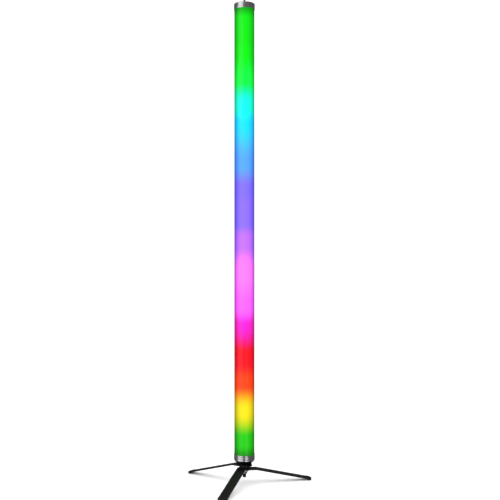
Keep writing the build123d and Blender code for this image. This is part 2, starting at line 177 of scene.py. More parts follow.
def block(name, low, high):
    """A box between two corners in millimetres."""
    bpy.ops.object.select_all(action="DESELECT")
    low, high = Vector(low) * MM, Vector(high) * MM
    bpy.ops.mesh.primitive_cube_add(size=1, location=(low + high) / 2, scale=high - low)
    piece = bpy.context.object
    piece.name = piece.data.name = name
    bpy.ops.object.transform_apply(location=True, rotation=True, scale=True)
    return piece


def combine(piece, other, operation):
    """Boolean a piece with another closed shape, and throw that shape away."""
    apply_modifier(piece, "BOOLEAN", operation=operation, solver="EXACT", object=other)
    bpy.data.objects.remove(other)


def cut(piece, cutter):
    """Take the cutter's shape out of a piece."""
    combine(piece, cutter, "DIFFERENCE")


def keep(piece, room):
    """Keep only what lies inside another shape."""
    combine(piece, room, "INTERSECT")


def weld(piece, other):
    """Melt another shape into a piece."""
    combine(piece, other, "UNION")


def drill(piece, radius, low, high, x=0.0, y=0.0, sides=48):
    """Drill an upright hole, in millimetres."""
    cutter = turned("drill", [(radius, low), (radius, high)], sides)
    shift(cutter, x, y)
    cut(piece, cutter)


def shift(piece, x=0.0, y=0.0, z=0.0):
    """Move a piece's mesh by millimetres."""
    pick(piece)
    bpy.ops.transform.translate(value=(x * MM, y * MM, z * MM))
    bpy.ops.object.transform_apply(location=True)


def turn(piece, x=0.0, y=0.0, z=0.0):
    """Turn a piece's mesh about the origin, in radians."""
    pick(piece)
    piece.rotation_euler = (x, y, z)
    bpy.ops.object.transform_apply(rotation=True)


def soften(piece, width, segments=2, angle=35):
    """Round every edge sharper than the angle by a width in millimetres, then shade it smooth."""
    apply_modifier(
        piece, "BEVEL", width=width * MM, segments=segments, limit_method="ANGLE",
        angle_limit=radians(angle), use_clamp_overlap=True, harden_normals=False,
    )
    smooth(piece, angle)


def smooth(piece, angle=35):
    """Shade a piece smooth, except across edges sharper than the angle."""
    pick(piece)
    bpy.ops.object.shade_smooth_by_angle(angle=radians(angle))


def joined(name, parts):
    """Join several shapes into one piece."""
    bpy.ops.object.select_all(action="DESELECT")
    for part in parts:
        part.select_set(True)
    bpy.context.view_layer.objects.active = parts[0]
    bpy.ops.object.join()
    parts[0].name = parts[0].data.name = name
    return parts[0]


def copied(piece, name):
    """A copy of a piece with its own mesh."""
    pick(piece)
    bpy.ops.object.duplicate(linked=False)
    twin = bpy.context.object
    twin.name = twin.data.name = name
    return twin


def height_of(name):
    """Lowest and highest point of a node in millimetres."""
    low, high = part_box(name)
    return low.z / MM, high.z / MM


def radius_of(name):
    """Half a node's width in millimetres."""
    low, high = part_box(name)
    return (high.x - low.x) / 2 / MM


def place(piece, material, body, slot, *nodes):
    """Give a finished piece its material, its body and the nodes that it stands for."""
    piece.data.materials.clear()
    piece.data.materials.append(material)
    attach(piece, body)
    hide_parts(*nodes)
    low = [round(min(v.co[axis] for v in piece.data.vertices) / MM, 2) for axis in range(3)]
    high = [round(max(v.co[axis] for v in piece.data.vertices) / MM, 2) for axis in range(3)]
    print(piece.name, "from", low, "to", high, "mm,", len(piece.data.polygons), "faces")
    return piece


# %% [markdown]
# A material is a small graph of nodes. One function adds a node, sets its own properties and
# feeds its inputs, and another starts a material with the plain values of its surface.
# Colours are written as the hex values that a paint chart gives and are turned to linear
# light once, here, because the renderer adds and multiplies linear values.

# %% Material tools
def linear(code):
    """Linear RGBA of an sRGB hex colour."""
    channels = [int(code[start:start + 2], 16) / 255 for start in (0, 2, 4)]
    return [c / 12.92 if c <= 0.04045 else ((c + 0.055) / 1.055) ** 2.4 for c in channels] + [1.0]


def node(material, kind, inputs=None, **settings):
    """Add one node: settings are its properties, inputs are values or sockets that feed it."""
    made = material.node_tree.nodes.new(kind)
    for name, value in settings.items():
        setattr(made, name, value)
    for name, value in (inputs or {}).items():
        if isinstance(value, bpy.types.NodeSocket):
            material.node_tree.links.new(value, made.inputs[name])
        else:
            made.inputs[name].default_value = value
    return made


def surface(name, colour, **values):
    """Start a material from its sRGB colour and the plain values of its surface."""
    material = bpy.data.materials.new(name)
    material.use_nodes = True
    shader = material.node_tree.nodes["Principled BSDF"]
    shader.inputs["Base Color"].default_value = linear(colour)
    for socket, value in values.items():
        shader.inputs[socket.replace("_", " ")].default_value = value
    return material, shader


def feed(material, shader, **sockets):
    """Link outputs to the shader's inputs."""
    for socket, output in sockets.items():
        material.node_tree.links.new(output, shader.inputs[socket.replace("_", " ")])


def noise(material, place_of, size, **values):
    """Noise whose patches have a size in millimetres."""
    inputs = {"Vector": place_of, "Scale": 1 / (size * MM), **values}
    return node(material, "ShaderNodeTexNoise", inputs).outputs["Fac"]


def relief(material, height, strength, depth):
    """The normal of a surface that a pattern raises by a depth in millimetres."""
    inputs = {"Height": height, "Strength": strength, "Distance": depth * MM}
    return node(material, "ShaderNodeBump", inputs).outputs["Normal"]


def smudged(material, place_of, size, low, high):
    """Roughness that drifts in patches of a size in millimetres, as handling leaves it."""
    patches = noise(material, place_of, size, Detail=4.0)
    drift = node(
        material, "ShaderNodeMapRange",
        {"Value": patches, "From Min": 0.3, "From Max": 0.7, "To Min": low, "To Max": high},
    )
    return drift.outputs["Result"]


def tinted(material, pattern, first, second):
    """A colour that drifts between two sRGB hex colours with a pattern."""
    inputs = {0: pattern, 6: linear(first), 7: linear(second)}
    return node(material, "ShaderNodeMix", inputs, data_type="RGBA").outputs[2]


# %% [markdown]
# The lit tube is extruded opal polycarbonate. Sixteen zones of LEDs stand behind it, and the
# opal wall blurs each border over about three centimetres. The light could be traced through
# a real scattering wall, but that is slow and noisy and is lost on export, so the wall itself
# glows: its colour follows height, and its brightness falls off from the front and the rear,
# where the LEDs shine, to the two sides. That fall is partly painted shade, fixed to the tube,
# for the darker edges of the tube seen from the front. The wall's base colour is a faint copy
# of the glow colour, which is painted light. The strength is above one, as bright LEDs burn out
# to pale colour in the middle and keep their full colour at the edges.

# %% Lit opal polycarbonate
LIT_LOW, LIT_HIGH = 63.5, 1046.0
# From the bottom up: a zone's colour, the height of its upper border and half the width over
# which the opal wall blends it into the next, in millimetres.
ZONES = (
    ("1cb30b", 132.8, 27.0), ("dcca0a", 191.2, 25.0), ("f53d0e", 247.1, 18.0),
    ("ea081d", 320.5, 29.0), ("f21abf", 368.8, 18.0), ("f659ff", 427.1, 28.0),
    ("f56eff", 499.2, 23.0), ("ad64fd", 556.6, 14.0), ("7d62ff", 626.5, 15.0),
    ("7462fe", 676.9, 23.0), ("4b94ff", 751.1, 40.0), ("0bc9fe", 809.2, 16.5),
    ("05f0d0", 859.9, 23.0), ("06f33d", 914.9, 29.0), ("05d50e", 960.7, 16.0),
    ("07ce0c", LIT_HIGH, 0.0),
)
CAP_SHADE_REACH = 23.0
CAP_SHADE = 0.46
GLOW_STRENGTH = 1.5
# The glow rises in a straight line with the distance from the side, and never falls below
# the side's own glow. The two meet in a soft blend. This dimming towards the sides is partly
# the front and rear LED boards and partly painted shade for the tube's darker edges.
SIDE_RISE = 1.18
SIDE_START = -0.20
SIDE_GLOW = 0.33
SIDE_BLEND = 0.12
GLOW_PAINTED_ON_WALL = 0.05
TUBE_RADIUS = 22.3


def lit_polycarbonate():
    """Extruded opal polycarbonate: a soft gloss with faint lines from the die, glowing in blocks, with
    painted shade to the sides and a painted glow in its base colour.
    """
    material, shader = surface(
        "opal_polycarbonate_extruded_lit", "808080",
        Roughness=0.35, IOR=1.58, Specular_IOR_Level=0.18, Emission_Strength=GLOW_STRENGTH,
    )
    place_of = node(material, "ShaderNodeTexCoord").outputs["Object"]
    axes = node(material, "ShaderNodeSeparateXYZ", {"Vector": place_of})
    along = node(
        material, "ShaderNodeMapRange",
        {"Value": axes.outputs["Z"], "From Min": LIT_LOW * MM, "From Max": LIT_HIGH * MM},
    )
    hues = node(material, "ShaderNodeValToRGB", {"Fac": along.outputs["Result"]})
    ramp = hues.color_ramp
    ramp.interpolation = "EASE"
    stops = []
    start = LIT_LOW
    for code, border, blend in ZONES:
        stops.append((start, code))
        stops.append((border - blend, code))
        start = border + blend
    for at, _ in stops[1:-1]:
        ramp.elements.new((at - LIT_LOW) / (LIT_HIGH - LIT_LOW))
    for element, (_, code) in zip(ramp.elements, stops):
        element.color = linear(code)
    height = axes.outputs["Z"]
    above = node(material, "ShaderNodeMath", {0: height, 1: LIT_LOW * MM}, operation="SUBTRACT")
    below = node(material, "ShaderNodeMath", {0: LIT_HIGH * MM, 1: height}, operation="SUBTRACT")
    nearest = node(
        material, "ShaderNodeMath", {0: above.outputs[0], 1: below.outputs[0]}, operation="MINIMUM"
    )
    cap_shade = node(
        material, "ShaderNodeMapRange",
        {"Value": nearest.outputs[0], "From Max": CAP_SHADE_REACH * MM, "To Min": CAP_SHADE},
        interpolation_type="SMOOTHSTEP",
    )
    facing = node(material, "ShaderNodeMath", {0: axes.outputs["Y"]}, operation="ABSOLUTE")
    share = node(
        material, "ShaderNodeMath",
        {0: facing.outputs[0], 1: SIDE_RISE / (TUBE_RADIUS * MM), 2: SIDE_START},
        operation="MULTIPLY_ADD",
    )
    glow = node(
        material, "ShaderNodeMath", {0: share.outputs[0], 1: SIDE_GLOW, 2: SIDE_BLEND},
        operation="SMOOTH_MAX",
    )
    level = node(
        material, "ShaderNodeMath", {0: glow.outputs[0], 1: cap_shade.outputs["Result"]},
        operation="MULTIPLY",
    )
    light = node(
        material, "ShaderNodeVectorMath",
        {"Vector": hues.outputs["Color"], "Scale": level.outputs[0]}, operation="SCALE",
    )
    # painted light: the wall's base colour is the zone's glow colour at 5 %, so the studio lights add
    # glow-coloured brightness to it
    wall = node(
        material, "ShaderNodeVectorMath",
        {"Vector": hues.outputs["Color"], "Scale": GLOW_PAINTED_ON_WALL}, operation="SCALE",
    )
    drawn = node(material, "ShaderNodeMapping", {"Vector": place_of, "Scale": (1.0, 1.0, 0.005)})
    die_lines = noise(material, drawn.outputs[0], 0.8, Detail=2.0)
    feed(
        material, shader, Emission_Color=light.outputs["Vector"], Base_Color=wall.outputs["Vector"],
        Normal=relief(material, die_lines, 0.3, 0.01),
    )
    return material


opal = lit_polycarbonate()
print("lit wall with", len(ZONES), "zones")

# %% [markdown]
# Metal parts differ by how they were made. The caps are turned aluminium with a clear satin
# anodise, so their finest marks are rings that run round the axis, on the side and on the
# flat top alike. A pattern of height plus distance from the axis draws both at once.
# Real tool marks are 0.1 mm apart, too fine to show, so they are drawn 0.5 mm apart.

# %% Turned and anodised aluminium
TOOL_MARK = 0.5


def turning_marks(material):
    """Bump of fine rings left by a lathe tool, on faces and sides alike."""
    place_of = node(material, "ShaderNodeTexCoord").outputs["Object"]
    axes = node(material, "ShaderNodeSeparateXYZ", {"Vector": place_of})
    flat = node(material, "ShaderNodeCombineXYZ", {"X": axes.outputs["X"], "Y": axes.outputs["Y"]})
    radius = node(material, "ShaderNodeVectorMath", {"Vector": flat.outputs[0]}, operation="LENGTH")
    path = node(
        material, "ShaderNodeMath", {0: radius.outputs["Value"], 1: axes.outputs["Z"]}, operation="ADD"
    )
    turns = node(
        material, "ShaderNodeMath", {0: path.outputs[0], 1: 2 * pi / (TOOL_MARK * MM)},
        operation="MULTIPLY",
    )
    wave = node(material, "ShaderNodeMath", {0: turns.outputs[0]}, operation="SINE")
    return relief(material, wave.outputs[0], 0.2, 0.01), place_of


def anodised(name, colour, low, high):
    """Aluminium turned on a lathe, then anodised: satin, with faint rings round the axis."""
    material, shader = surface(name, colour, Metallic=1.0, Roughness=0.3)
    normal, place_of = turning_marks(material)
    feed(material, shader, Normal=normal, Roughness=smudged(material, place_of, 6.0, low, high))
    return material


silver = anodised("aluminium_turned_clear_anodised", "c6c6c8", 0.27, 0.37)
black_hub = anodised("aluminium_turned_black_anodised", "17171a", 0.28, 0.40)
print("made", silver.name, "and", black_hub.name)

# %% [markdown]
# The legs are flat steel bar with a black powder coat. Powder melts into a skin with a fine
# orange peel, about 0.4 mm from dimple to dimple, which breaks the highlight into a soft
# satin. Noise at that size through a bump is enough, since the relief is a few hundredths
# of a millimetre. Handling polishes some patches a little.

# %% Powder-coated steel
def powder_coat():
    """Black powder coat on steel: even, satin, with a fine orange peel."""
    material, shader = surface(
        "steel_black_powder_coat", "0a0a0b", Roughness=0.45, IOR=1.5, Specular_IOR_Level=0.4
    )
    place_of = node(material, "ShaderNodeTexCoord").outputs["Object"]
    peel = noise(material, place_of, 0.4, Detail=3.0)
    shine = smudged(material, place_of, 12.0, 0.38, 0.52)
    feed(material, shader, Normal=relief(material, peel, 0.5, 0.03), Roughness=shine)
    return material


powder = powder_coat()
print("made", powder.name)

# %% [markdown]
# The nut and the washer above it are zinc plated, and the eye is tumbled stainless steel.
# Plating is bright with a faint blue and yellow drift, from the passivation bath.
# Tumbling leaves short random scratches, drawn here as stretched noise.
# The stud and the screws are black oxide: dark, oily, with brown at the worn spots.

# %% Plated, tumbled and blackened steel
def zinc_plate():
    """Bright zinc with a clear passivate: silvery, with a faint drift of blue and yellow."""
    material, shader = surface("steel_bright_zinc_plated", "c3c7ca", Metallic=1.0, Roughness=0.3)
    place_of = node(material, "ShaderNodeTexCoord").outputs["Object"]
    tint = tinted(material, noise(material, place_of, 5.0, Detail=2.0), "b9c3cc", "d0cbb8")
    shine = smudged(material, place_of, 3.0, 0.22, 0.38)
    feed(material, shader, Base_Color=tint, Roughness=shine)
    return material


def tumbled_steel():
    """Stainless steel tumbled in stones: soft shine under fine random scratches."""
    material, shader = surface("stainless_steel_tumbled", "bdbcb9", Metallic=1.0, Roughness=0.28)
    place_of = node(material, "ShaderNodeTexCoord").outputs["Object"]
    stretched = node(material, "ShaderNodeMapping", {"Vector": place_of, "Scale": (1.0, 0.15, 1.0)})
    scratches = noise(material, stretched.outputs[0], 0.3, Detail=3.0, Distortion=1.2)
    shine = smudged(material, place_of, 2.5, 0.20, 0.36)
    feed(material, shader, Normal=relief(material, scratches, 0.3, 0.02), Roughness=shine)
    return material


def black_oxide():
    """Steel blackened in a hot salt bath and oiled: dark, with brown where it rubs."""
    material, shader = surface("steel_black_oxide", "3a3a3c", Metallic=1.0, Roughness=0.35)
    place_of = node(material, "ShaderNodeTexCoord").outputs["Object"]
    tint = tinted(material, noise(material, place_of, 1.2, Detail=4.0), "303033", "4c433b")
    shine = smudged(material, place_of, 2.0, 0.28, 0.45)
    feed(material, shader, Base_Color=tint, Roughness=shine)
    return material


zinc = zinc_plate()
stainless = tumbled_steel()
blackened = black_oxide()
print("made", zinc.name, stainless.name, blackened.name)

# %% [markdown]
# Soft and moulded parts: the pad, the boots and the inlet's plug are rubber, the slip washers
# are nylon and the buttons are ABS. A mould gives each one the texture of its own steel: a
# spark-eroded grain about 0.25 mm across on ABS, finer on nylon, and a dull bloom on rubber.

# %% Rubber and plastics
def grained(name, colour, grain, depth, low, high, **values):
    """Moulded plastic or rubber with the grain of its mould, in millimetres."""
    material, shader = surface(name, colour, **values)
    place_of = node(material, "ShaderNodeTexCoord").outputs["Object"]
    pits = noise(material, place_of, grain, Detail=4.0)
    shine = smudged(material, place_of, 4.0, low, high)
    feed(material, shader, Normal=relief(material, pits, 0.6, depth), Roughness=shine)
    return material


rubber = grained("rubber_moulded_black", "121212", 0.35, 0.03, 0.70, 0.88, IOR=1.52)
nylon = grained("nylon_stamped_black", "1c1c1e", 0.20, 0.01, 0.45, 0.60, IOR=1.53)
black_abs = grained("abs_moulded_black", "161617", 0.25, 0.02, 0.40, 0.55, IOR=1.54)
grey_abs = grained("abs_moulded_grey", "6c6e70", 0.25, 0.02, 0.42, 0.56, IOR=1.54)
print("made", rubber.name, nylon.name, black_abs.name, grey_abs.name)

# %% [markdown]
# The status lens is clear polycarbonate with a green glow in it, and the icons on the buttons
# are white paint. Inside the tube are an extruded spine, white boards, the LEDs, wrapped
# cells and a brass insert. They are never seen, but each gets its own plain true finish, so
# that nothing looks wrong if the tube is taken off.

# %% Lens, paint and inner finishes
def status_glow():
    """Clear polycarbonate lens over a green indicator."""
    material, shader = surface(
        "polycarbonate_lens_green_glow", "8fe0a0", Roughness=0.08, IOR=1.58,
        Emission_Color=linear("24e05a"), Emission_Strength=0.7,
    )
    place_of = node(material, "ShaderNodeTexCoord").outputs["Object"]
    feed(material, shader, Roughness=smudged(material, place_of, 1.0, 0.05, 0.12))
    return material


def extruded_aluminium():
    """Aluminium straight from the die: dull, with long lines along its length."""
    material, shader = surface("aluminium_extruded_raw", "a8abad", Metallic=1.0, Roughness=0.4)
    place_of = node(material, "ShaderNodeTexCoord").outputs["Object"]
    drawn = node(material, "ShaderNodeMapping", {"Vector": place_of, "Scale": (1.0, 1.0, 0.01)})
    lines = noise(material, drawn.outputs[0], 0.3, Detail=3.0)
    shine = smudged(material, place_of, 8.0, 0.34, 0.48)
    feed(material, shader, Normal=relief(material, lines, 0.4, 0.02), Roughness=shine)
    return material


white_paint = grained("pad_print_white", "d8d8d6", 0.15, 0.005, 0.45, 0.60, IOR=1.5)
lens_glow = status_glow()
raw_aluminium = extruded_aluminium()
board = grained("circuit_board_white_mask", "e6e8e6", 0.30, 0.01, 0.35, 0.48, IOR=1.5)
led_epoxy = grained("led_package_epoxy", "efe9c8", 0.20, 0.01, 0.15, 0.25, IOR=1.5)
cell_wrap = grained("pvc_shrink_wrap_blue", "2a62a6", 0.80, 0.02, 0.22, 0.34, IOR=1.53)
brass = anodised("brass_turned", "c9a24f", 0.22, 0.34)
black_chip = grained("epoxy_moulded_chip_black", "1b1b1c", 0.20, 0.01, 0.45, 0.58, IOR=1.55)

INNER_FINISHES = {
    raw_aluminium: ("spine",),
    board: ("front_led_board", "rear_led_board", "control_board", "radio_module"),
    led_epoxy: ("front_leds", "rear_leds"),
    cell_wrap: ("battery_cells",),
    black_chip: ("board_components", "button_switches"),
    grey_abs: ("top_holder", "bottom_holder"),
    black_abs: ("cell_spacers",),
    brass: ("thread_insert",),
    rubber: ("top_seal", "bottom_seal"),
    stainless: ("eye_washer", "eye_nut"),
    blackened: ("bottom_cap_screws",),
}
for finish, names in INNER_FINISHES.items():
    for name in names:
        inner = frame["nodes"][name]
        if not inner.data.materials:
            inner.data.materials.append(finish)
        for spot in inner.material_slots:
            spot.material = finish
print("inner finishes on", sum(len(names) for names in INNER_FINISHES.values()), "nodes")

# %% [markdown]
# The tube is one long extrusion with two millimetres of wall. A cylinder with a Solidify
# modifier would do, but a ring carried up the outside, over the rim and down the inside gives
# true end faces, and the rings at the zone borders let the glow follow the wall.

# %% Diffuser tube
TUBE_WALL = 2.0


def diffuser():
    """The opal tube, seated in both caps."""
    low, high = height_of("diffuser_tube")
    outer, inner = TUBE_RADIUS, TUBE_RADIUS - TUBE_WALL
    borders = [LIT_LOW] + [border for _, border, _ in ZONES]
    outside = [(outer, low)] + [(outer, z) for z in borders] + [(outer, high)]
    inside = [(inner, z) for _, z in reversed(outside)]
    piece = turned("lit_diffuser_tube", outside + inside + [(outer, low)], 128)
    soften(piece, 0.25)
    return piece


place(diffuser(), opal, "light", "opal_polycarbonate", "diffuser_tube")

# %% [markdown]
# Each end cap is turned from bar: a rim that the tube sits in, a wide groove, a ring, a thin
# groove and a last ring that rounds over to the flat end. Both caps are one shape, so one
# outline turns both and the lower one is flipped. The top one is then drilled for the eye, the screws,
# the two buttons, the inlet and the lens, with Boolean cuts, as a drill would.

# %% End caps
CAP_RADIUS = 23.1
GROOVE_RADIUS = 22.4
RIM_RADIUS = 22.35
SPIGOT_RADIUS = 20.15
CAVITY_RADIUS = 16.8
RIM_HEIGHT = 2.6
SEAT_DEPTH = 2.2
WIDE_GROOVE = 2.0
MIDDLE_RING = 3.2
THIN_GROOVE = 1.0
CAP_PLATE = 4.0
SPIGOT_REACH = 6.0
CAP_ROUND = 1.0
CONTROLS_RADIUS = 12.0
SCREW_RADIUS = 12.5
SCREW_SINK = 1.3
EYE_BORE = 3.1
KEY_BORE = 3.05
INLET_BORE = 4.0
LENS_BORE = 1.6
CAP_EDGE = 0.22
TOP = height_of("top_cap")[1]


def cap_blank(name):
    """A turned cap at the top end, before drilling."""
    rim = LIT_HIGH + RIM_HEIGHT
    groove = rim + WIDE_GROOVE
    ring = groove + MIDDLE_RING
    thin = ring + THIN_GROOVE
    outline = [
        (CAVITY_RADIUS, TOP - CAP_PLATE),
        (CAVITY_RADIUS, LIT_HIGH - SPIGOT_REACH),
        (SPIGOT_RADIUS, LIT_HIGH - SPIGOT_REACH),
        (SPIGOT_RADIUS, LIT_HIGH + SEAT_DEPTH),
        (RIM_RADIUS, LIT_HIGH + SEAT_DEPTH),
        (RIM_RADIUS, LIT_HIGH),
        (CAP_RADIUS, LIT_HIGH),
        (CAP_RADIUS, rim),
        (GROOVE_RADIUS, rim),
        (GROOVE_RADIUS, groove),
        (CAP_RADIUS, groove),
        (CAP_RADIUS, ring),
        (GROOVE_RADIUS, ring),
        (GROOVE_RADIUS, thin),
        (CAP_RADIUS, thin),
        (CAP_RADIUS, TOP - CAP_ROUND),
        (CAP_RADIUS - CAP_ROUND, TOP),
    ]
    return turned(name, outline, 128)


def around(radius, count, start):
    """Points evenly spaced round the axis."""
    for index in range(count):
        angle = radians(start + index * 360 / count)
        yield radius * cos(angle), radius * sin(angle)


def drilled_top_cap():
    """The top cap with a countersunk hole for each screw and a hole for each control."""
    cap = cap_blank("top_end_cap")
    below, above = TOP - CAP_PLATE - 1, TOP + 1
    for x, y in around(SCREW_RADIUS, 4, 45):
        sink = turned("sink", [(1.35, below), (1.35, TOP - SCREW_SINK), (2.45, TOP), (3.3, above)], 32)
        shift(sink, x, y)
        cut(cap, sink)
    drill(cap, EYE_BORE, below, above)
    drill(cap, KEY_BORE, below, above, y=-CONTROLS_RADIUS)
    drill(cap, KEY_BORE, below, above, y=CONTROLS_RADIUS)
    drill(cap, INLET_BORE, below, above, x=CONTROLS_RADIUS)
    drill(cap, LENS_BORE, below, above, x=-CONTROLS_RADIUS, sides=32)
    return cap


def flipped_bottom_cap():
    """The same cap turned over at the lower end."""
    cap = cap_blank("bottom_end_cap")
    middle = (LIT_LOW + LIT_HIGH) / 2
    shift(cap, z=-middle)
    turn(cap, x=pi)
    shift(cap, z=middle)
    return cap


for cap, cap_node in ((drilled_top_cap(), "top_cap"), (flipped_bottom_cap(), "bottom_cap")):
    soften(cap, CAP_EDGE)
    place(cap, silver, "light", "anodised_aluminium", cap_node)

# %% [markdown]
# Four countersunk screws hold the top cap. One is modelled: a cone head with a hexagon socket
# and a short length of shank, and the rest are copies turned round the axis. Each copy has
# its own mesh, and the four are joined, because they are one bag of identical screws.

# %% Top screws
def screw():
    """One countersunk screw with a hexagon socket."""
    outline = [(1.25, TOP - 25.0), (1.25, TOP - SCREW_SINK), (2.35, TOP - 0.08), (2.25, TOP - 0.02)]
    piece = turned("screw", outline, 32)
    key = turned("key", [(0.87, TOP - 0.9), (0.87, TOP + 1)], 6)
    cut(piece, key)
    soften(piece, 0.06)
    return piece


def screw_set():
    """Four screws between the controls."""
    first = screw()
    shift(first, SCREW_RADIUS)
    turn(first, z=radians(45))
    copies = [copied(first, f"screw_{index}") for index in range(1, 4)]
    for index, twin in enumerate(copies, 1):
        turn(twin, z=index * pi / 2)
    return joined("top_screws", [first] + copies)


place(screw_set(), blackened, "light", "black_oxide_steel", "top_cap_screws")

# %% [markdown]
# The buttons are moulded ABS, slightly dished so that a finger finds them, with a generic
# icon in relief: a broken ring for power, three dots for the mode. The icons could be painted
# in the material, but relief reads at any distance and survives export as a mesh.

# %% Buttons
BUTTON_RADIUS = 3.0
BUTTON_LOW, BUTTON_TOP = height_of("power_button")
FLANGE_TOP = TOP - CAP_PLATE - 0.05
ICON_LOW, ICON_HIGH = BUTTON_TOP - 0.3, BUTTON_TOP - 0.06


def key_cap(name):
    """A round key with a flange below and a shallow dish on top."""
    outline = [
        (3.6, BUTTON_LOW),
        (3.6, FLANGE_TOP),
        (BUTTON_RADIUS, FLANGE_TOP),
        (BUTTON_RADIUS, BUTTON_TOP - 0.35),
        (BUTTON_RADIUS - 0.35, BUTTON_TOP),
        (BUTTON_RADIUS - 0.7, BUTTON_TOP),
        (BUTTON_RADIUS - 1.4, BUTTON_TOP - 0.14),
        (0.5, BUTTON_TOP - 0.2),
    ]
    piece = turned(name, outline, 64)
    soften(piece, 0.12)
    return piece


def power_icon():
    """A ring with a gap, and a bar in the gap."""
    low, high = ICON_LOW, ICON_HIGH
    ring = turned("ring", [(0.95, low), (1.2, low), (1.2, high), (0.95, high), (0.95, low)], 48)
    cut(ring, block("gap", (-0.4, 0.2, low - 1), (0.4, 2, high + 1)))
    bar = block("bar", (-0.12, 0.35, low), (0.12, 1.35, high))
    icon = joined("power_icon", [ring, bar])
    soften(icon, 0.03)
    return icon


def mode_icon():
    """Three dots in a row."""
    low, high = ICON_LOW, ICON_HIGH
    dots = []
    for x in (-0.9, 0.0, 0.9):
        dot = turned("dot", [(0.26, low), (0.26, high - 0.05), (0.2, high)], 20)
        shift(dot, x)
        dots.append(dot)
    icon = joined("mode_icon", dots)
    soften(icon, 0.03)
    return icon


for name, side, icon, finish, slot in (
    ("power_button", -1, power_icon(), black_abs, "moulded_black"),
    ("mode_button", 1, mode_icon(), grey_abs, "moulded_grey"),
):
    key = key_cap(name.replace("button", "key"))
    shift(key, y=side * CONTROLS_RADIUS)
    shift(icon, y=side * CONTROLS_RADIUS)
    place(key, finish, name, slot, name)
    place(icon, white_paint, name, slot)

# %% [markdown]
# The charging inlet is a barrel socket set a millimetre below the cap, closed by a rubber plug
# with a low pull tab. The plug's stem is hollow, because the socket has a pin. Both are turned,
# and the tab is a block that is narrowed by a bevel and melted into the plug's flange.

# %% Inlet and its plug
SOCKET_LOW, SOCKET_HIGH = height_of("charge_socket")
PLUG_LOW, PLUG_HIGH = height_of("port_plug")


def inlet():
    """The socket: a cup with a pin in it."""
    floor = SOCKET_HIGH - 9.0
    outline = [
        (1.05, SOCKET_HIGH - 2.4),
        (1.05, floor),
        (2.85, floor),
        (2.85, SOCKET_HIGH - 0.4),
        (3.1, SOCKET_HIGH),
        (3.9, SOCKET_HIGH),
        (3.9, SOCKET_LOW),
    ]
    piece = turned("charging_inlet", outline, 48)
    soften(piece, 0.1)
    shift(piece, CONTROLS_RADIUS)
    return piece


def inlet_plug():
    """The rubber plug with its pull tab."""
    seat = TOP + 0.05
    outline = [
        (1.15, PLUG_LOW),
        (2.75, PLUG_LOW),
        (2.75, seat),
        (4.75, seat),
        (4.75, PLUG_HIGH - 0.5),
        (4.45, PLUG_HIGH - 0.12),
        (3.9, PLUG_HIGH - 0.1),
        (3.6, PLUG_HIGH - 0.35),
        (1.6, PLUG_HIGH - 0.35),
        (1.15, PLUG_HIGH - 0.35),
        (1.15, PLUG_LOW),
    ]
    piece = turned("inlet_plug", outline, 64)
    crown = [(1.3, PLUG_HIGH - 0.8), (1.3, PLUG_HIGH - 0.3), (1.1, PLUG_HIGH - 0.25)]
    weld(piece, turned("crown", crown, 48))
    tab = block("tab", (-0.45, -3.2, PLUG_HIGH - 0.6), (0.45, 3.2, PLUG_HIGH))
    weld(piece, tab)
    soften(piece, 0.15)
    shift(piece, CONTROLS_RADIUS)
    return piece


place(inlet(), black_abs, "light", "moulded_black", "charge_socket")
place(inlet_plug(), rubber, "port_plug", "black_rubber", "port_plug")

# %% [markdown]
# The status lens is a small clear dome pressed up from inside, with a flange under the plate.

# %% Status lens
def status_lens():
    """A domed lens with its flange."""
    plate = TOP - CAP_PLATE
    outline = [
        (2.2, plate - 1.0),
        (2.2, plate),
        (1.5, plate),
        (1.5, TOP),
        (1.3, TOP + 0.18),
        (0.9, TOP + 0.27),
        (0.4, TOP + 0.3),
    ]
    piece = turned("status_lens", outline, 40)
    soften(piece, 0.06)
    shift(piece, -CONTROLS_RADIUS)
    return piece


place(status_lens(), lens_glow, "light", "clear_lens", "status_light")

# %% [markdown]
# The hanging eye is forged: a flat ring with rounded outer edges that flows down into a round
# collar. The ring and the collar are made apart and melted together with a Boolean union, and
# a bevel on the sharp seam stands for the forging's fillet. It stands edge-on to the front.

# %% Hanging eye
EYE_CENTRE = mounts["hanging_eye"]["pos_m"][2] / MM
EYE_HOLE = mounts["hanging_eye"]["dims"]["r_mm"]
EYE_WIDTH = mounts["hanging_eye"]["dims"]["length_mm"]
EYE_OUTER = 9.5


def hanging_eye():
    """Ring, collar and shank in one forging."""
    half = EYE_WIDTH / 2
    outline = [
        (EYE_HOLE, -half + 0.4),
        (EYE_HOLE + 0.4, -half),
        (EYE_OUTER - 1.5, -half),
        (EYE_OUTER - 0.44, -half + 0.44),
        (EYE_OUTER, -half + 1.5),
        (EYE_OUTER, half - 1.5),
        (EYE_OUTER - 0.44, half - 0.44),
        (EYE_OUTER - 1.5, half),
        (EYE_HOLE + 0.4, half),
        (EYE_HOLE, half - 0.4),
        (EYE_HOLE, -half + 0.4),
    ]
    ring = turned("hanging_eye", outline, 96)
    turn(ring, y=pi / 2)
    shift(ring, z=EYE_CENTRE)
    low = height_of("eye_bolt")[0]
    stem = [
        (3.0, low),
        (3.0, TOP),
        (5.0, TOP),
        (5.0, TOP + 1.9),
        (4.7, TOP + 2.4),
        (3.4, TOP + 2.7),
        (2.6, TOP + 3.6),
        (2.4, EYE_CENTRE - EYE_HOLE - 1.0),
    ]
    weld(ring, turned("stem", stem, 64))
    soften(ring, 0.2, 2, 30)
    return ring


place(hanging_eye(), stainless, "light", "stainless_steel", "eye_bolt")

# %% [markdown]
# Under the bottom cap come a thin rubber pad and a black turned hub, whose flange tapers down
# to a round boss. Both are turned outlines. Nylon washers keep the bars from rubbing.

# %% Pad, hub and slip washers
HUB_BORE = 4.1
LEG_BORE = 4.05
LEG_WASHER = 0.9


def washer(name, outer, inner, low, high, edge=0.12):
    """A flat ring with broken edges."""
    piece = turned(name, [(inner, low), (outer, low), (outer, high), (inner, high), (inner, low)], 96)
    soften(piece, edge)
    return piece


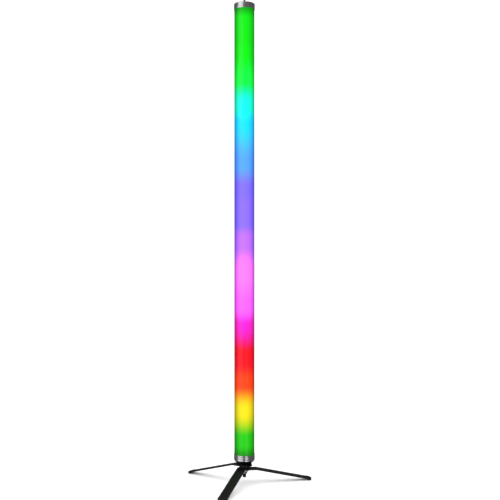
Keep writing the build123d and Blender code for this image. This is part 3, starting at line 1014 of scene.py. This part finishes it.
def hub():
    """The boss and its tapering flange."""
    low, high = height_of("stand_hub")
    outer = radius_of("stand_hub")
    shoulder = low + 5.5
    outline = [
        (HUB_BORE, low),
        (15.9, low),
        (16.5, low + 0.6),
        (16.5, low + 2.0),
        (16.2, low + 2.2),
        (16.2, low + 2.8),
        (16.5, low + 3.0),
        (16.5, shoulder),
        (outer - 0.6, high - 0.6),
        (outer, high - 0.6),
        (outer, high),
        (HUB_BORE, high),
        (HUB_BORE, low),
    ]
    piece = turned("stand_hub_turned", outline, 128)
    soften(piece, 0.15)
    return piece


def pad():
    """The rubber pad, with a shallow bead round its edge."""
    low, high = height_of("base_pad")
    outer = radius_of("base_pad")
    middle = (low + high) / 2
    outline = [
        (HUB_BORE, low),
        (outer - 0.3, low),
        (outer, low + 0.3),
        (outer - 0.2, middle),
        (outer, high - 0.3),
        (outer - 0.3, high),
        (HUB_BORE, high),
        (HUB_BORE, low),
    ]
    piece = turned("base_pad_rubber", outline, 128)
    soften(piece, 0.12)
    return piece


place(pad(), rubber, "light", "black_rubber", "base_pad")
place(hub(), black_hub, "light", "black_anodised", "stand_hub")
hub_slip = washer("hub_slip_washer", radius_of("hub_washer"), HUB_BORE, *height_of("hub_washer"))
place(hub_slip, nylon, "light", "black_nylon", "hub_washer")
slip_low, slip_high = height_of("leg_washers")
slip_washers = [
    washer("slip", radius_of("leg_washers"), LEG_BORE, low, low + LEG_WASHER)
    for low in (slip_low, slip_high - LEG_WASHER)
]
place(joined("leg_slip_washers", slip_washers), nylon, "front_leg", "black_nylon", "leg_washers")

# %% [markdown]
# The stud is an M8 thread. A thread is a helix, so one pitch of its V profile is extruded from
# a single point and the Screw modifier carries it round and up. Stacked rings would look
# nearly the same, but a helix catches the light along a slope, as a real thread does. The
# helix is made too long, its two ragged ends are closed with fans of triangles, and then only
# what lies inside a turned bar is kept: that trims it square and gives the lead-in chamfer.

# %% Threaded stud
PITCH = 1.25
THREAD_OUTER = 4.0
THREAD_INNER = 3.3
THREAD_STEPS = 40
SPARE_TURNS = 2
SOCKET_KEY = 2.31
SOCKET_DEEP = 4.0
STUD_LOW, STUD_HIGH = height_of("stand_stud")
THREAD_HIGH = 28.2


def helix_thread(name, low, high):
    """A closed helix that passes both heights by a few spare turns."""
    start = low - SPARE_TURNS * PITCH
    bpy.ops.object.select_all(action="DESELECT")
    bpy.ops.mesh.primitive_plane_add(size=MM, location=(THREAD_INNER * MM, 0, start * MM))
    piece = bpy.context.object
    piece.name = piece.data.name = name
    bpy.ops.object.transform_apply(location=True)
    bpy.ops.object.mode_set(mode="EDIT")
    bpy.ops.mesh.select_mode(type="VERT")
    bpy.ops.mesh.select_all(action="SELECT")
    bpy.ops.mesh.merge(type="CENTER")
    depth = THREAD_OUTER - THREAD_INNER
    flat = PITCH / 8
    slope = (PITCH - 2 * flat) / 2
    for across, up in ((depth, slope), (0, flat), (-depth, slope), (0, flat)):
        move = (across * MM, 0, up * MM)
        bpy.ops.mesh.extrude_region_move(TRANSFORM_OT_translate={"value": move})
    bpy.ops.object.mode_set(mode="OBJECT")
    turns = int((high - low) / PITCH) + 2 * SPARE_TURNS + 1
    apply_modifier(
        piece, "SCREW", angle=2 * pi, screw_offset=PITCH * MM, iterations=turns,
        steps=THREAD_STEPS, render_steps=THREAD_STEPS, axis="Z",
    )
    bpy.ops.object.mode_set(mode="EDIT")
    bpy.ops.mesh.select_all(action="SELECT")
    bpy.ops.mesh.remove_doubles(threshold=MERGE)
    bpy.ops.mesh.fill_holes(sides=0)
    bpy.ops.mesh.select_mode(type="FACE")
    bpy.ops.mesh.select_all(action="DESELECT")
    bpy.ops.mesh.select_face_by_sides(number=4, type="GREATER")
    bpy.ops.mesh.poke()
    tidy_mesh()
    return piece


def threaded_stud():
    """The free end's thread with its hexagon socket, and the plain shank above it."""
    thread = helix_thread("stand_stud_threaded", STUD_LOW, THREAD_HIGH)
    keep(thread, turned("bar", [(3.1, STUD_LOW), (4.1, STUD_LOW + 1), (4.1, THREAD_HIGH)], 64))
    cut(thread, turned("key", [(SOCKET_KEY, STUD_LOW - 1), (SOCKET_KEY, STUD_LOW + SOCKET_DEEP)], 6))
    smooth(thread, 30)
    shank = turned("shank", [(4.0, THREAD_HIGH), (4.0, STUD_HIGH - 1), (3.0, STUD_HIGH)], 48)
    soften(shank, 0.1)
    return joined("stand_stud_threaded", [thread, shank])


place(threaded_stud(), blackened, "light", "black_oxide_steel", "stand_stud")

# %% [markdown]
# The clamp nut is a flanged hexagon. Real nuts have their corners cut by a cone, which leaves
# an arc on each flat: the hexagon is intersected with a turned cone to get it. The flange is
# turned and its top is plain, so it bears flat on the washer.

# %% Clamp nut and washer
NUT_ACROSS = 13.0
NUT_FLANGE = 1.5


def clamp_nut():
    """A hexagon nut with a chamfered end and a plain flange."""
    low, high = height_of("clamp_nut")
    corner = NUT_ACROSS / 2 / cos(pi / 6)
    flange = radius_of("clamp_nut")
    nut = turned("clamp_nut_flanged", [(corner, low), (corner, high - 0.5)], 6)
    cone = turned(
        "cone",
        [(NUT_ACROSS / 2 - 0.1, low - 0.01), (corner + 0.6, low + 0.85), (corner + 0.6, high)],
        96,
    )
    keep(nut, cone)
    outline = [
        (5.0, high - NUT_FLANGE - 1.0),
        (corner - 0.1, high - NUT_FLANGE - 1.0),
        (flange - 0.6, high - NUT_FLANGE + 0.2),
        (flange, high - NUT_FLANGE + 0.6),
        (flange, high - 0.3),
        (flange - 0.3, high),
        (5.0, high),
        (5.0, high - NUT_FLANGE - 1.0),
    ]
    weld(nut, turned("flange", outline, 96))
    drill(nut, LEG_BORE, low - 1, high + 1)
    soften(nut, 0.15, 2, 30)
    return nut


place(clamp_nut(), zinc, "clamp_nut", "zinc_steel", "clamp_nut")
plate = washer(
    "clamp_washer_plated", radius_of("clamp_washer"), LEG_BORE, *height_of("clamp_washer"), edge=0.25
)
place(plate, zinc, "clamp_washer", "zinc_steel", "clamp_washer")

# %% [markdown]
# Each leg is flat steel bar, 20 by 3 mm, bent once beyond the hub. The bar starts as a block
# over the stud. Spin carries its end face round the bend, one extrusion takes it down to the
# floor, and bevels round its corners and edges. The angle of each leg and its reach come from
# the sole that the frame states, and its slope follows from its height on the stud.

# %% Legs
BAR_WIDTH = 20.0
BAR_THICK = 3.0
HUB_END = 15.0
BEND_AT = 26.0
BEND_ROUND = 4.5
BOOT_WALL = 0.5
BOOT_BASE = 1.2
SOLE_INSET = 1.2
TIP_ROUND = 6.0


def leg_facts(side):
    """Angle, tip radius and underside of a leg, in radians and millimetres."""
    x, y, _ = mounts[f"{side}_sole"]["pos_m"]
    tip = hypot(x, y) / MM + SOLE_INSET
    underside = height_of(f"{side}_leg")[1] - BAR_THICK
    return atan2(y, x), tip, underside


def round_end(piece, end, half, radius):
    """In edit mode, round the two upright corners at one end of a bar, in millimetres."""
    select_where(
        piece, "edges",
        lambda at: abs(at.x - end * MM) < MM and abs(abs(at.y) - half * MM) < MERGE,
    )
    bpy.ops.mesh.bevel(offset=radius * MM, segments=8, affect="EDGES")


def bent_bar(side):
    """One leg along +X, bent down to the floor, then turned to its place."""
    angle, tip, underside = leg_facts(side)
    slope = atan2(underside - BOOT_BASE, tip - BEND_AT)
    start = BEND_AT - BEND_ROUND * tan(slope / 2)
    half = BAR_WIDTH / 2
    bar = block(f"{side}_leg_bar", (-HUB_END, -half, underside), (start, half, underside + BAR_THICK))
    bpy.ops.object.mode_set(mode="EDIT")
    select_where(bar, "polygons", lambda at: abs(at.x - start * MM) < MERGE)
    bpy.ops.mesh.spin(
        steps=5, angle=-slope, center=(start * MM, 0, (underside - BEND_ROUND) * MM), axis=(0, 1, 0)
    )
    reach = tip - BEND_AT - BEND_ROUND * tan(slope / 2) * cos(slope)
    move = (reach * MM, 0, -reach * tan(slope) * MM)
    bpy.ops.mesh.extrude_region_move(TRANSFORM_OT_translate={"value": move})
    round_end(bar, tip, half, TIP_ROUND)
    round_end(bar, -HUB_END, half, 1.5)
    tidy_mesh()
    drill(bar, LEG_BORE, underside - 1, underside + BAR_THICK + 1)
    soften(bar, 0.3, 3, 30)
    turn(bar, z=angle)
    return bar


for side in ("left", "front", "right"):
    place(bent_bar(side), powder, f"{side}_leg", "black_powder_coat", f"{side}_leg")
    print(side, "leg at", round(degrees(leg_facts(side)[0]), 1), "degrees")

# %% [markdown]
# The rubber boots are sleeves over the leg ends. A block is laid along the bar, then Bisect
# slices it flat at the floor and slants its underside up to the bar. A shallow groove round
# the sleeve, narrowed from a loop of cuts, is the lip that a moulded boot ends in. The upper
# edges are rounded before the underside is cut, so the sole keeps its crisp moulded edge.

# %% Boots
BOOT_GRIP = 9.0
BOOT_SOLE = 3.0
BOOT_GROOVE = -7.7


def boot(side):
    """A sleeve over the leg's end with a flat sole."""
    angle, tip, underside = leg_facts(side)
    slope = atan2(underside - BOOT_BASE, tip - BEND_AT)
    half = BAR_WIDTH / 2 + BOOT_WALL
    top = BAR_THICK + BOOT_WALL
    piece = block(f"{side}_boot", (-BOOT_GRIP, -half, -6), (BOOT_WALL, half, top))
    bpy.ops.object.mode_set(mode="EDIT")
    round_end(piece, BOOT_WALL, half, TIP_ROUND + BOOT_WALL)
    for offset, inward in ((-0.4, 0.0), (0.0, 0.25), (0.4, 0.0)):
        bpy.ops.mesh.select_all(action="SELECT")
        bpy.ops.mesh.bisect(plane_co=((BOOT_GROOVE + offset) * MM, 0, 0), plane_no=(1, 0, 0))
        if inward:
            narrow = 1 - inward / half
            bpy.ops.transform.resize(value=(1, narrow, narrow), center_override=(0, 0, 0))
    tidy_mesh()
    soften(piece, 0.25, 3, 75)
    turn(piece, y=slope)
    shift(piece, tip, 0, BOOT_BASE)
    back = (tip - BOOT_GRIP * cos(slope) - BOOT_WALL * sin(slope),
            BOOT_BASE + BOOT_GRIP * sin(slope) - BOOT_WALL * cos(slope))
    rise = atan2(back[1], tip - BOOT_SOLE - back[0])
    bpy.ops.object.mode_set(mode="EDIT")
    for normal in ((0, 0, 1), (sin(rise), 0, cos(rise))):
        bpy.ops.mesh.select_all(action="SELECT")
        bpy.ops.mesh.bisect(
            plane_co=((tip - BOOT_SOLE) * MM, 0, 0), plane_no=normal, use_fill=True, clear_inner=True
        )
        close_openings()
    tidy_mesh()
    low = (-BOOT_GRIP - 1, -BAR_WIDTH / 2, 0)
    pocket = block("pocket", low, (0, BAR_WIDTH / 2, BAR_THICK))
    bpy.ops.object.mode_set(mode="EDIT")
    round_end(pocket, 0, BAR_WIDTH / 2, TIP_ROUND)
    tidy_mesh()
    turn(pocket, y=slope)
    shift(pocket, tip, 0, BOOT_BASE)
    cut(piece, pocket)
    smooth(piece)
    turn(piece, z=angle)
    return piece


for side in ("left", "front", "right"):
    place(boot(side), rubber, f"{side}_leg", "black_rubber", f"{side}_foot")

# %% [markdown]
# A plain pale studio: a white floor that runs to the horizon, a tall soft box to the front
# left that draws the bright band on the caps, one below the floor at the right and one
# overhead. The sky lights everything evenly and is white to the camera, but metal mirrors
# whatever stands round it. So to mirror rays the sky is a dim grey and the floor isn't there,
# which also lets the lower cap mirror the soft box below it.

# %% Floor, sky and lights
def pale_floor():
    """A white floor, smooth and dull."""
    bpy.ops.object.select_all(action="DESELECT")
    bpy.ops.mesh.primitive_plane_add(size=60)
    floor = bpy.context.object
    floor.name = "studio_floor"
    material, _ = surface("studio_floor_white", "fbfbfb", Roughness=0.9, Specular_IOR_Level=0.1)
    floor.data.materials.append(material)
    floor.visible_glossy = False
    return floor


def white_sky(seen, mirrored):
    """An even white sky that is dimmer where a glossy surface mirrors it."""
    world = bpy.data.worlds.new("studio_sky")
    world.use_nodes = True
    bpy.context.scene.world = world
    tree = world.node_tree
    background = tree.nodes["Background"]
    background.inputs["Color"].default_value = (1, 1, 1, 1)
    path = tree.nodes.new("ShaderNodeLightPath")
    strength = tree.nodes.new("ShaderNodeMapRange")
    strength.inputs["To Min"].default_value = seen
    strength.inputs["To Max"].default_value = mirrored
    tree.links.new(path.outputs["Is Glossy Ray"], strength.inputs["Value"])
    tree.links.new(strength.outputs["Result"], background.inputs["Strength"])


def soft_box(name, azimuth, distance, height, width, tall, brightness, tilt=pi / 2):
    """An area light facing the object; azimuth 0 is behind the camera, watts follow size."""
    angle = radians(azimuth)
    at = Vector((sin(angle) * distance, -cos(angle) * distance, height))
    bpy.ops.object.select_all(action="DESELECT")
    bpy.ops.object.light_add(type="AREA", location=at, rotation=(tilt, 0, angle))
    light = bpy.context.object
    light.name = name
    light.data.shape = "RECTANGLE"
    light.data.size = width
    light.data.size_y = tall
    light.data.energy = brightness * pi * width * tall
    return light


pale_floor()
white_sky(1.25, 0.15)
soft_box("key_box", -46, 2.4, 0.7, 2.6, 3.6, 1.5)
soft_box("low_box", 24, 2.4, -0.55, 1.2, 1.0, 4.0)
soft_box("top_box", 0, 0.2, 2.7, 1.4, 1.4, 1.2, tilt=0)
bpy.context.scene.view_settings.view_transform = "Standard"
bpy.context.scene.view_settings.look = "None"
print("studio set")
